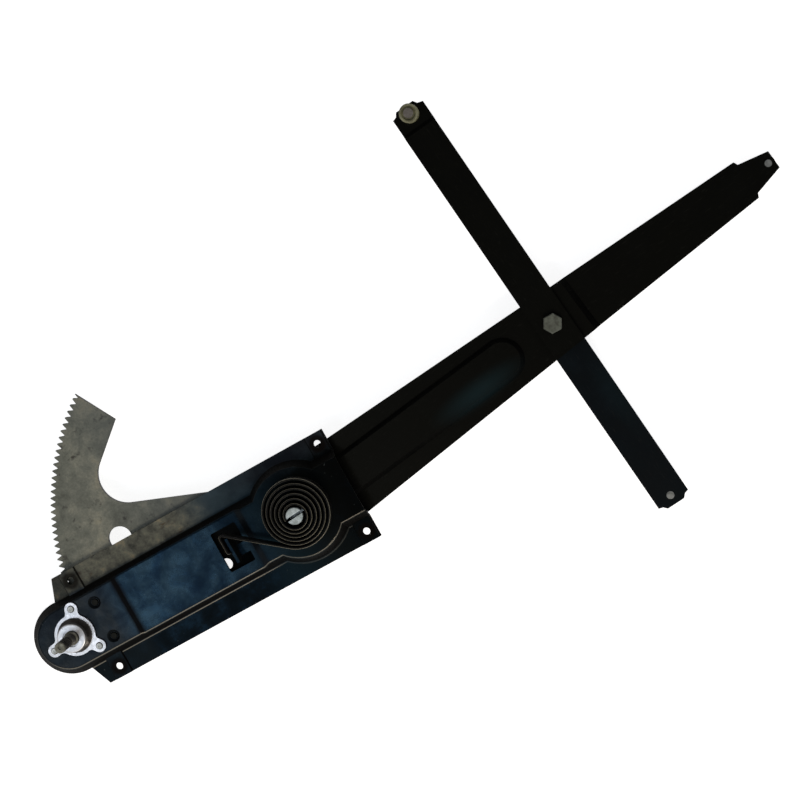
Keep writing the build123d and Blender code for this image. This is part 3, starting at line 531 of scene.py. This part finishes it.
def turned_metal(name, colour, dull, flank_shade, roughness, ring_mm, centre, metallic):
    """Metal turned or cold-headed about its own axis: fine rings that catch the light, a skin dulled in
    patches by handling, and painted shade on its flanks."""
    material, tree = new_material(name)
    across = add_node(
        tree,
        VECTOR,
        {"operation": "MULTIPLY"},
        {0: pattern_space(tree, ring_mm / (2 * pi), centre=centre), 1: (1, 1, 0)},
    ).outputs[0]
    radius = add_node(tree, VECTOR, {"operation": "LENGTH"}, {0: across}).outputs["Value"]
    rings = add_node(tree, MATH, {"operation": "SINE"}, {0: radius}).outputs[0]
    normal = add_node(tree, "ShaderNodeNewGeometry", {}, {}).outputs["Normal"]
    facing = add_node(tree, "ShaderNodeSeparateXYZ", {}, {0: normal}).outputs
    patches = add_node(
        tree, NOISE, {}, {"Vector": pattern_space(tree, 3.0), "Scale": 1.0, "Detail": 4.0}
    ).outputs[0]
    mask = add_table(
        tree,
        RANGE,
        {},
        MASK_COLUMNS,
        {
            "painted_flank_shade": (facing["Z"], 0.9, 0.55, 0.0, 1.0),
            "roughness": (patches, 0.3, 0.7, roughness, roughness + 0.12),
        },
    )
    handled = add_node(
        tree, RAMP, {"stops": [(0.35, colour), (0.7, dull)]}, {0: patches}
    ).outputs[0]
    # painted shade: a dark colour on the faces that lean away from upward
    tone = add_node(
        tree, MIX, COLOURS, {SHARE: mask["painted_flank_shade"], UNDER: handled, OVER: linear(flank_shade)}
    ).outputs[MIXED]
    relief = add_node(
        tree, BUMP, {}, {"Height": rings, "Strength": 0.06, "Distance": 0.02 * MM}
    ).outputs[0]
    finish_surface(
        tree,
        {
            "Base Color": tone,
            "Metallic": metallic,
            "Roughness": mask["roughness"],
            "Normal": relief,
        },
    )
    return material


def moulded_nylon(name):
    """Natural nylon, injection moulded: waxy and slightly translucent, yellowed by grease in
    patches, with the mould's fine texture."""
    material, tree = new_material(name)
    # patches of grease, 5 mm, and the mould's texture, 0.6 mm
    noise = add_table(
        tree,
        NOISE,
        {},
        NOISE_COLUMNS,
        {
            "patches": (pattern_space(tree, 5.0), 1.0, 3.0),
            "skin": (pattern_space(tree, 0.6), 1.0, 2.0),
        },
    )
    tone = add_node(
        tree, RAMP, {"stops": [(0.35, "8a8868"), (0.68, "5f5c42")]}, {0: noise["patches"]}
    ).outputs[0]
    roughness = add_node(
        tree, RANGE, {}, {"Value": noise["patches"], "To Min": 0.35, "To Max": 0.55}
    ).outputs[0]
    relief = add_node(
        tree, BUMP, {}, {"Height": noise["skin"], "Strength": 0.1, "Distance": 0.03 * MM}
    ).outputs[0]
    finish_surface(
        tree,
        {
            "Base Color": tone,
            "Roughness": roughness,
            "Subsurface Weight": 0.1,
            "Subsurface Radius": (0.002, 0.0016, 0.001),
            "Normal": relief,
        },
    )
    return material


def blackened_spring_strip(name, axis):
    """Hardened strip with black heat scale: dark oily flats, and a painted dull-bronze highlight on the
    outer rounded edges that face up."""
    material, tree = new_material(name)
    normal = add_node(tree, "ShaderNodeNewGeometry", {}, {}).outputs["Normal"]
    facing = add_node(tree, "ShaderNodeSeparateXYZ", {}, {0: normal}).outputs
    # the way out from the winding's axis, to tell the strip's outer edges from its inner ones
    across = add_node(
        tree,
        VECTOR,
        {"operation": "MULTIPLY"},
        {0: pattern_space(tree, 1.0, centre=axis), 1: (1, 1, 0)},
    ).outputs[0]
    outward = add_node(tree, VECTOR, {"operation": "NORMALIZE"}, {0: across}).outputs[0]
    leaning = add_node(
        tree, VECTOR, {"operation": "DOT_PRODUCT"}, {0: normal, 1: outward}
    ).outputs["Value"]
    # patches of scale, 6 mm
    scale = add_node(
        tree,
        NOISE,
        {},
        {"Vector": pattern_space(tree, 6.0), "Scale": 1.0, "Detail": 5.0, "Roughness": 0.6},
    ).outputs[0]
    mask = add_table(
        tree,
        RANGE,
        {},
        MASK_COLUMNS,
        {
            "outer": (leaning, 0.2, 0.5, 0.0, 0.9),
            "upward": (facing["Z"], 0.15, 0.5, 0.0, 1.0),
            "roughness": (scale, 0.3, 0.7, 0.44, 0.3),
        },
    )
    # painted highlight on the outer rounded edges that face up
    painted_edge_highlight = add_node(
        tree, MATH, {"operation": "MULTIPLY"}, {0: mask["outer"], 1: mask["upward"]}
    ).outputs[0]
    blackened = add_node(
        tree, RAMP, {"stops": [(0.3, "0a0908"), (0.55, "12110e"), (0.75, "1f1c18")]}, {0: scale}
    ).outputs[0]
    colour = add_node(
        tree, MIX, COLOURS, {SHARE: painted_edge_highlight, UNDER: blackened, OVER: linear("85806f")}
    ).outputs[MIXED]
    relief = add_node(
        tree, BUMP, {}, {"Height": scale, "Strength": 0.1, "Distance": 0.05 * MM}
    ).outputs[0]
    finish_surface(
        tree,
        {
            "Base Color": colour,
            "Metallic": 0.35,
            "Roughness": mask["roughness"],
            "Specular IOR Level": 0.25,
            "Normal": relief,
        },
    )
    return material


# ---------------------------------------------------------------- finishes of the CAD nodes
crank_axis = tuple(centre_of("crank_shaft"))
hub_axis = tuple(centre_of("pivot_hub"))
pivot_axis = tuple(centre_of("equalizer_pivot"))
cam_axis = tuple(centre_of("cam_roller_stud"))

# the way that each arm's rub marks run, and where its painted blue reflection lies
lift_turn = radians(-7.5)
equalizer_turn = radians(-95.15)
lift_reflection_spot = Vector((217.0, 12.0, 0.0)) * MM
glass_reflection_spot = Vector((298.0, -36.0, 0.0)) * MM
black_films = [(0.3, "040403"), (0.5, "070706"), (0.7, "0d0d0b")]
blue_films = [(0.3, "07090b"), (0.5, "0a0e11"), (0.7, "11171b")]
arm_enamel = dip_coated_arm_steel(
    "black_enamelled_arm_strip", lift_turn, black_films, "dad8c4", lift_reflection_spot, 0.42
)
equalizer_enamel = dip_coated_arm_steel(
    "black_enamelled_equalizer_strip", equalizer_turn, black_films, "dad8c4", glass_reflection_spot, 0.0
)
glass_arm_enamel = dip_coated_arm_steel(
    "black_enamelled_glass_arm_strip", equalizer_turn, blue_films, "ccdae2", glass_reflection_spot, 0.12
)
plate_enamel = blue_black_plate_steel("blue_black_enamelled_drawn_plate")

sector_tones = [(0.34, "717469"), (0.46, "8f9285"), (0.56, "a9a998"), (0.7, "ccc3a4")]
sector_strip = blanked_sector_steel("oiled_hot_rolled_sector_strip", sector_tones, 0.12)
inner_tones = [(0.3, "2c2b28"), (0.52, "48463f"), (0.72, "625e54")]
inner_steel = blanked_sector_steel("oiled_blanked_inner_steel", inner_tones, 0.5)

# colour, dulled colour, colour of the painted flank shade, roughness, spacing of the rings in mm, axis and
# metallic
zinc = turned_metal(
    "bright_zinc_plated_bearing_cup", "ffffff", "f0f2f4", "34302d", 0.26, 0.5, crank_axis, 0.7
)
bright_rivet = turned_metal(
    "cold_headed_bright_rivet", "d8dad4", "aeb0a6", "4a4a46", 0.3, 0.4, crank_axis, 0.5
)
hub_metal = turned_metal(
    "turned_zinc_plated_arbor", "dfe8e6", "b2bdbb", "4a5052", 0.36, 0.5, hub_axis, 0.5
)
hex_metal = turned_metal(
    "cold_headed_hexagon_steel", "7c8074", "5a5c52", "33352f", 0.45, 0.5, pivot_axis, 0.5
)
stud_metal = turned_metal(
    "cold_headed_stud_steel", "a5a8a6", "6f7270", "3c3e3c", 0.4, 0.4, cam_axis, 0.5
)
cam_head_metal = turned_metal(
    "cold_headed_cam_stud_steel", "958e86", "6a645e", "2c2a28", 0.45, 0.4, cam_axis, 0.5
)
shaft_metal = turned_metal(
    "oil_blackened_spline_shaft_steel", "8e8c7c", "646255", "24211e", 0.34, 0.5, crank_axis, 0.6
)
roller_nylon = moulded_nylon("moulded_natural_nylon")
spring_metal = blackened_spring_strip("blackened_hardened_spring_strip", hub_axis)

finishes = {
    "base_plate": plate_enamel,
    "crank_bearing": zinc,
    "bearing_rivets": bright_rivet,
    "pinion_bridge": inner_steel,
    "sector_guide_buttons": arm_enamel,
    "pivot_bushing": inner_steel,
    "counterbalance_spring": spring_metal,
    "crank_shaft": shaft_metal,
    "drive_pinion": inner_steel,
    "brake_spring": spring_metal,
    "lift_arm": arm_enamel,
    "sector_gear": sector_strip,
    "pivot_hub": hub_metal,
    "thrust_washer": inner_steel,
    "arbor_retainer": inner_steel,
    "sector_rivets": stud_metal,
    "lift_roller_stud": stud_metal,
    "equalizer_front_arm": equalizer_enamel,
    "equalizer_rear_arm": glass_arm_enamel,
    "equalizer_pivot": hex_metal,
    "cam_roller_stud": cam_head_metal,
    "glass_roller_stud": stud_metal,
    "cam_roller": roller_nylon,
    "equalizer_glass_roller": roller_nylon,
    "lift_glass_roller": roller_nylon,
}
for name, material in finishes.items():
    slots = nodes[name].data.materials
    slots.clear()
    slots.append(material)


# ---------------------------------------------------------------- clock spring
def spiral_tree():
    """Strip wound in half-turn arcs about two centres, joined to a straight leg, with rounded
    edges. The object's own edges are the leg. Each point keeps its share of the winding as an
    attribute, so that the spring can wind up as the arm turns."""
    most_half_turns, points_each = 12, 36
    edge_points, bend_points = 3, 6
    tree = bpy.data.node_groups.new("clock_spring", "GeometryNodeTree")
    numbers = ["Outer Radius", "Pitch", "Lean", "Half Turns", "Start Angle"]
    numbers += ["Strip", "Width", "Edge", "Bend"]
    inputs = [("Leg", "Geometry")] + [(label, "Float") for label in numbers]
    inputs += [("Centre", "Vector"), ("Material", "Material")]
    for label, kind in inputs:
        tree.interface.new_socket(label, in_out="INPUT", socket_type="NodeSocket" + kind)
    tree.interface.new_socket("Spring", in_out="OUTPUT", socket_type="NodeSocketGeometry")
    given = add_node(tree, "NodeGroupInput", {}, {}).outputs
    line = add_node(tree, "GeometryNodeCurvePrimitiveLine", {}, {}).outputs[0]
    run = add_node(
        tree,
        "GeometryNodeResampleCurve",
        {},
        {"Curve": line, "Count": most_half_turns * points_each},
    ).outputs[0]
    share = add_node(tree, "GeometryNodeSplineParameter", {}, {}).outputs["Factor"]
    # half turns wound so far, the arc's own number and sign, its two end radii, and from them its
    # radius and how far its centre is off the axis
    sums = {"share": share, "start": given["Start Angle"], "n": given["Half Turns"]}
    sums |= {"outer": given["Outer Radius"], "pitch": given["Pitch"], "lean": given["Lean"]}
    steps = [
        ("wound", "MULTIPLY", "share", "n"),
        ("arc", "FLOOR", "wound", None),
        ("odd", "MODULO", "arc", 2.0),
        ("twice", "MULTIPLY", "odd", -2.0),
        ("sign", "ADD", "twice", 1.0),
        ("next", "ADD", "arc", 1.0),
        ("left", "DIVIDE", "arc", "n"),
        ("next_left", "DIVIDE", "next", "n"),
        ("lean_share", "SUBTRACT", 1.0, "left"),
        ("next_share", "SUBTRACT", 1.0, "next_left"),
        ("lean_now", "MULTIPLY", "lean_share", "lean"),
        ("lean_next", "MULTIPLY", "next_share", "lean"),
        ("lean_signed", "MULTIPLY", "lean_now", "sign"),
        ("next_signed", "MULTIPLY", "lean_next", "sign"),
        ("half_pitch", "MULTIPLY", "pitch", 0.5),
        ("drawn_in", "MULTIPLY", "half_pitch", "arc"),
        ("next_drawn", "MULTIPLY", "half_pitch", "next"),
        ("ring", "SUBTRACT", "outer", "drawn_in"),
        ("next_ring", "SUBTRACT", "outer", "next_drawn"),
        ("here", "SUBTRACT", "ring", "lean_signed"),
        ("beyond", "ADD", "next_ring", "next_signed"),
        ("total", "ADD", "here", "beyond"),
        ("radius", "MULTIPLY", "total", 0.5),
        ("gap", "SUBTRACT", "here", "beyond"),
        ("half_gap", "MULTIPLY", "gap", 0.5),
        ("offset", "MULTIPLY", "half_gap", "sign"),
        ("swept", "MULTIPLY", "wound", pi),
        ("angle", "ADD", "swept", "start"),
        ("across", "COSINE", "angle", None),
        ("up", "SINE", "angle", None),
        ("x", "MULTIPLY", "across", "radius"),
        ("y", "MULTIPLY", "up", "radius"),
        ("start_across", "COSINE", "start", None),
        ("start_up", "SINE", "start", None),
        ("shift_x", "MULTIPLY", "offset", "start_across"),
        ("shift_y", "MULTIPLY", "offset", "start_up"),
        ("px", "ADD", "x", "shift_x"),
        ("py", "ADD", "y", "shift_y"),
    ]
    for label, operation, first, second in steps:
        sockets = {0: sums.get(first, first)}
        if second is not None:
            sockets[1] = sums.get(second, second)
        sums[label] = add_node(tree, MATH, {"operation": operation}, sockets).outputs[0]
    flat = add_node(
        tree, "ShaderNodeCombineXYZ", {}, {"X": sums["px"], "Y": sums["py"]}
    ).outputs[0]
    point = add_node(tree, VECTOR, {"operation": "ADD"}, {0: flat, 1: given["Centre"]}).outputs[0]
    spiral = add_node(
        tree, "GeometryNodeSetPosition", {}, {"Geometry": run, "Position": point}
    ).outputs[0]
    leg = add_node(tree, "GeometryNodeMeshToCurve", {}, {"Mesh": given["Leg"]}).outputs[0]
    leg = add_node(
        tree,
        "GeometryNodeFilletCurve",
        {"mode": "POLY"},
        {"Curve": leg, "Radius": given["Bend"], "Count": bend_points, "Limit Radius": True},
    ).outputs[0]
    both = add_node(tree, "GeometryNodeJoinGeometry", {}, {})
    for run_of_strip, wound_share in ((leg, 0.0), (spiral, share)):
        marked = add_node(
            tree,
            "GeometryNodeStoreNamedAttribute",
            {"data_type": "FLOAT", "domain": "POINT"},
            {"Geometry": run_of_strip, "Name": "wound_share", "Value": wound_share},
        ).outputs[0]
        tree.links.new(marked, both.inputs[0])
    upright = add_node(
        tree, "GeometryNodeSetCurveNormal", {"mode": "Z_UP"}, {"Curve": both.outputs[0]}
    ).outputs[0]
    section = add_node(
        tree,
        "GeometryNodeCurvePrimitiveQuadrilateral",
        {},
        {"Width": given["Strip"], "Height": given["Width"]},
    ).outputs[0]
    section = add_node(
        tree,
        "GeometryNodeFilletCurve",
        {"mode": "POLY"},
        {"Curve": section, "Radius": given["Edge"], "Count": edge_points},
    ).outputs[0]
    strip = add_node(
        tree,
        "GeometryNodeCurveToMesh",
        {},
        {"Curve": upright, "Profile Curve": section, "Fill Caps": True},
    ).outputs[0]
    smooth = add_node(tree, "GeometryNodeSetShadeSmooth", {}, {"Geometry": strip}).outputs[0]
    solid = add_node(tree, "GeometryNodeRealizeInstances", {}, {"Geometry": smooth}).outputs[0]
    made = add_node(
        tree, "GeometryNodeSetMaterial", {}, {"Geometry": solid, "Material": given["Material"]}
    ).outputs[0]
    add_node(tree, "NodeGroupOutput", {}, {"Spring": made})
    return tree


def grown_piece(name, mesh, tree, values):
    """Run a node tree on a mesh with named input values, and keep the result as a plain piece."""
    seed = bpy.data.objects.new(name + "_seed", mesh)
    bpy.context.scene.collection.objects.link(seed)
    modifier = seed.modifiers.new("grow", "NODES")
    modifier.node_group = tree
    for item in tree.interface.items_tree:
        if item.in_out == "INPUT" and item.name in values:
            modifier[item.identifier] = values[item.name]
    depsgraph = bpy.context.evaluated_depsgraph_get()
    grown = bpy.data.meshes.new_from_object(seed.evaluated_get(depsgraph), depsgraph=depsgraph)
    seed.modifiers.clear()
    bpy.data.objects.remove(seed)
    piece = bpy.data.objects.new(name, grown)
    bpy.context.scene.collection.objects.link(piece)
    return piece


def build_clock_spring():
    """Flat spring from the anchor tab to the arbor's slot, which winds as the lift arm turns."""
    hub = centre_of("pivot_hub")
    low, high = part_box("counterbalance_spring")
    middle = (low[2] + high[2]) / 2
    # sizes in mm and degrees, with the places of the tab and the hook from the hub
    strip, edge, bend = 1.4, 0.4, 1.6
    outer_radius, pitch = 24.93, 3.06
    lean, lean_angle = 2.43, 51.2
    full_arcs, last_arc = 11, 137.8
    start = lean_angle + 180
    half_turns = full_arcs + last_arc / 180
    tab_left, tab_gap, hook_gap = -51.7, 0.1, 1.5
    hook_x = tab_left - hook_gap - strip / 2
    hook_low, hook_high = -1.2, 13.9
    first_radius = outer_radius - lean
    leg = [
        (tab_left - tab_gap, hook_low),
        (hook_x, hook_low),
        (hook_x, hook_high),
        (first_radius * cos(radians(start)), first_radius * sin(radians(start))),
    ]
    mesh = bpy.data.meshes.new("clock_spring_leg")
    points = [(hub.x + x * MM, hub.y + y * MM, middle) for x, y in leg]
    mesh.from_pydata(points, [(i, i + 1) for i in range(len(points) - 1)], [])
    values = {
        "Outer Radius": outer_radius * MM,
        "Pitch": pitch * MM,
        "Lean": lean * MM,
        "Half Turns": half_turns,
        "Start Angle": radians(start),
        "Strip": strip * MM,
        "Width": high[2] - low[2],
        "Edge": edge * MM,
        "Bend": bend * MM,
        "Centre": (hub.x, hub.y, middle),
        "Material": spring_metal,
    }
    return grown_piece("clock_spring", mesh, spiral_tree(), values)


clock_spring = build_clock_spring()


# ---------------------------------------------------------------- stage, light and camera
def build_stage():
    """White floor under the rollers that shows white to the camera and keeps a soft shadow."""
    floor_z = cad_box[0][2]
    half_width = 6.0
    glow_strength = 0.82
    mesh = bpy.data.meshes.new("floor")
    square = ((-1, -1), (1, -1), (1, 1), (-1, 1))
    corners = [(x * half_width, y * half_width, floor_z) for x, y in square]
    mesh.from_pydata(corners, [], [(0, 1, 2, 3)])
    floor = bpy.data.objects.new("floor", mesh)
    bpy.context.scene.collection.objects.link(floor)
    material, tree = new_material("white_paper_floor")
    path = add_node(tree, "ShaderNodeLightPath", {}, {}).outputs
    seen = path["Is Camera Ray"]
    for ray in ("Is Glossy Ray", "Is Transmission Ray"):
        seen = add_node(tree, MATH, {"operation": "MAXIMUM"}, {0: seen, 1: path[ray]}).outputs[0]
    glow = add_node(tree, MATH, {"operation": "MULTIPLY"}, {0: seen, 1: glow_strength}).outputs[0]
    finish_surface(
        tree,
        {
            "Base Color": linear("f2f2f2"),
            "Roughness": 0.9,
            "Emission Color": linear("ffffff"),
            "Emission Strength": glow,
        },
    )
    mesh.materials.append(material)


def soft_lamp(name, place, aim, size, radiance, colour):
    """Rectangular lamp at a place, aimed at a point, with a face of a given brightness."""
    data = bpy.data.lights.new(name, "AREA")
    data.shape = "RECTANGLE"
    data.size, data.size_y = size
    data.energy = radiance * pi * size[0] * size[1]
    data.color = linear(colour)[:3]
    lamp = bpy.data.objects.new(name, data)
    lamp.location = place
    lamp.rotation_euler = (Vector(aim) - Vector(place)).to_track_quat("-Z", "Y").to_euler()
    bpy.context.scene.collection.objects.link(lamp)


def build_camera():
    """Camera above the front, turned so that the lift arm rises to the upper right."""
    # the view's turns about X, Y and Z, and where the hub then lies from the camera's axis
    turns = ((6.11, "X"), (-5.82, "Y"), (29.53, "Z"))
    hub_offset = Vector((-70.4, -77.4, 0)) * MM
    distance = 1321.4 * MM
    flange_front = -1.5 * MM
    focal_in_frames = 1895.2 / 800
    sensor = 36.0
    turn = Matrix.Identity(3)
    for angle, axis in turns:
        turn = turn @ Matrix.Rotation(radians(angle), 3, axis)
    hub = centre_of("pivot_hub")
    pivot = Vector((hub.x, hub.y, flange_front))
    data = bpy.data.cameras.new("camera")
    data.sensor_width = sensor
    data.lens = focal_in_frames * sensor
    data.clip_start = 0.05
    data.clip_end = 20
    camera = bpy.data.objects.new("camera", data)
    place = pivot + turn.transposed() @ (Vector((0, 0, distance)) - hub_offset)
    camera.matrix_world = Matrix.Translation(place) @ turn.transposed().to_4x4()
    bpy.context.scene.collection.objects.link(camera)
    bpy.context.scene.camera = camera
    return place


def build_lights(camera_place):
    """Cool lamp overhead, a warm one low in front, a dim one behind, and a dim world."""
    middle = (Vector(cad_box[0]) + Vector(cad_box[1])) / 2
    # the lamp overhead stands where the flat channel floor mirrors it to the front
    floor_point = Vector((-70, 12, 5)) * MM
    lamp_height = 1.25
    away = floor_point - camera_place
    overhead = floor_point + Vector((away.x, away.y, 0)) * (lamp_height / camera_place.z)
    overhead.z = lamp_height
    warm_place = middle + Vector((-0.15, -0.8, 0.8))
    fill_place = middle + Vector((0.9, 0.9, 0.7))
    soft_lamp("overhead", overhead, floor_point, (0.50, 0.30), 2.2, "e9f1ff")
    soft_lamp("warm_side", warm_place, middle, (0.5, 0.35), 6.5, "fff0dc")
    soft_lamp("far_fill", fill_place, middle, (0.8, 0.8), 0.7, "f4f6ff")
    world = bpy.data.worlds.new("studio")
    world.use_nodes = True
    tree = world.node_tree
    tree.nodes.clear()
    coords = add_node(tree, "ShaderNodeTexCoord", {}, {}).outputs["Generated"]
    way = add_node(tree, "ShaderNodeSeparateXYZ", {}, {0: coords}).outputs
    height = add_node(
        tree, RAMP, {"stops": [(0.0, "ffffff"), (1.0, "484c52")]}, {0: way["Z"]}
    ).outputs[0]
    side = add_node(
        tree,
        RANGE,
        {},
        {"Value": way["Y"], "From Min": -0.9, "From Max": 0.9, "To Min": 1.2, "To Max": 0.25},
    ).outputs[0]
    light = add_node(tree, "ShaderNodeBackground", {}, {"Color": height, "Strength": side})
    shown = add_node(
        tree, "ShaderNodeBackground", {}, {"Color": linear("ffffff"), "Strength": 1.0}
    )
    path = add_node(tree, "ShaderNodeLightPath", {}, {}).outputs
    blend = add_node(
        tree,
        "ShaderNodeMixShader",
        {},
        {0: path["Is Camera Ray"], 1: light.outputs[0], 2: shown.outputs[0]},
    )
    add_node(tree, "ShaderNodeOutputWorld", {}, {"Surface": blend.outputs[0]})
    bpy.context.scene.world = world


build_stage()
build_lights(build_camera())
bpy.context.scene.view_settings.view_transform = "Standard"

# ---------------------------------------------------------------- what the clock spring moves with
hub = centre_of("pivot_hub")
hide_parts("counterbalance_spring")
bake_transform(clock_spring, "base", "lift_arm", tuple(hub), (hub.x, hub.y, hub.z + 0.01))
# a winding bends by its share of the turns, from the tab to the arbor, not along a straight line
wound = clock_spring.data.attributes["wound_share"]
shares = clock_spring.data.attributes["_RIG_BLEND"]
for index, value in enumerate(wound.data):
    shares.data[index].value = value.value
